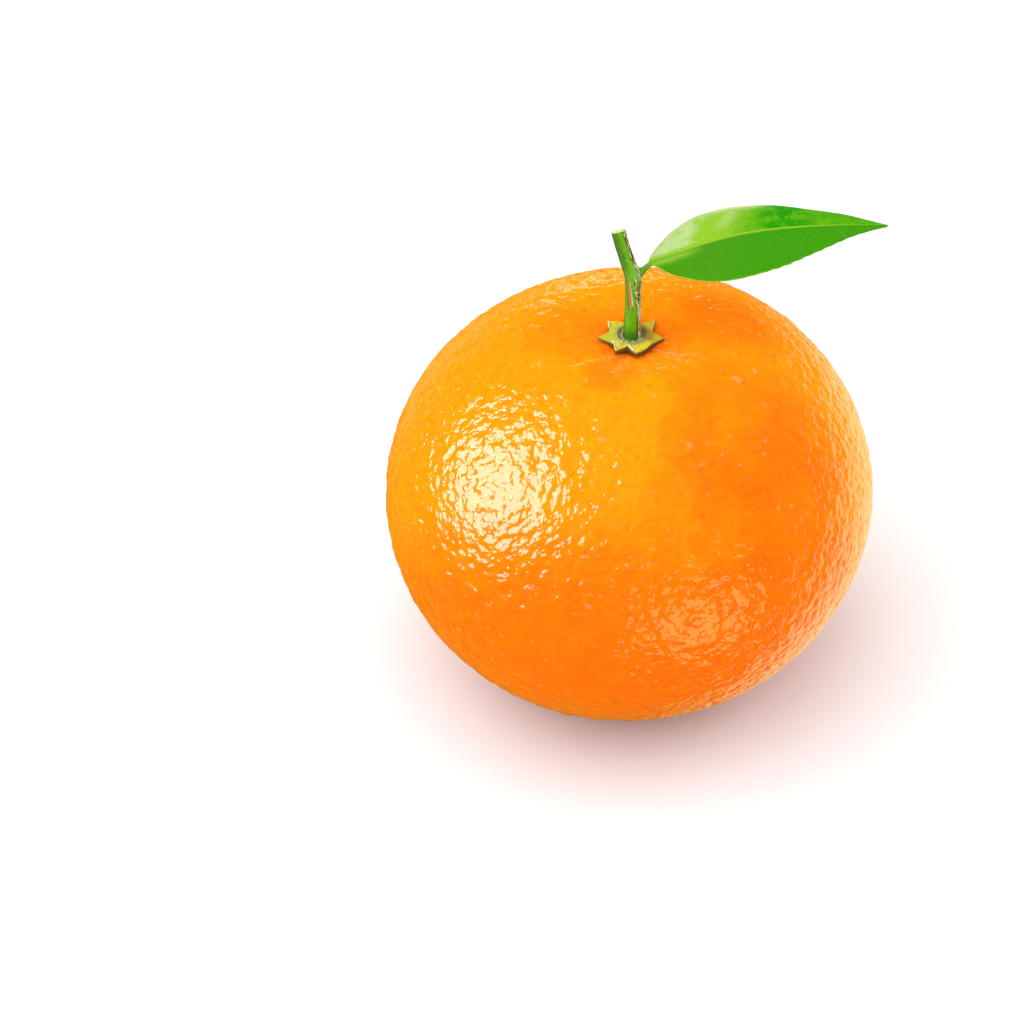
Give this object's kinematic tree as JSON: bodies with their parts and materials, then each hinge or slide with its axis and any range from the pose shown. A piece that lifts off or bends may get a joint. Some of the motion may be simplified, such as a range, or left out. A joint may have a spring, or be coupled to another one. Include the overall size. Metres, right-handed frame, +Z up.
{
  "type": "mandarin",
  "caption": "Whole mandarin as picked, a flattened round fruit with its star-edged calyx, a short green twig and a leaf, standing on its flat blossom end.",
  "frame": {"origin": "on the flat spot that the fruit rests on, under the middle of the fruit", "axes": "+Z up from the flat spot towards the calyx, +X along the leaf, +Y away from the side the picture shows"},
  "size_m": [0.0711, 0.0699, 0.0724],
  "materials": {
    "peel": "glossy orange peel with oil gland pits",
    "calyx": "matt yellow-green, pale dry edges",
    "stem": "satin green bark with pale grey streaks",
    "leaf": "waxy bright green, paler midrib"
  },
  "bodies": {
    "root": {"fruit": "peel", "calyx": "calyx", "stem": "stem", "leaf": "leaf"}
  },
  "joints": []
}
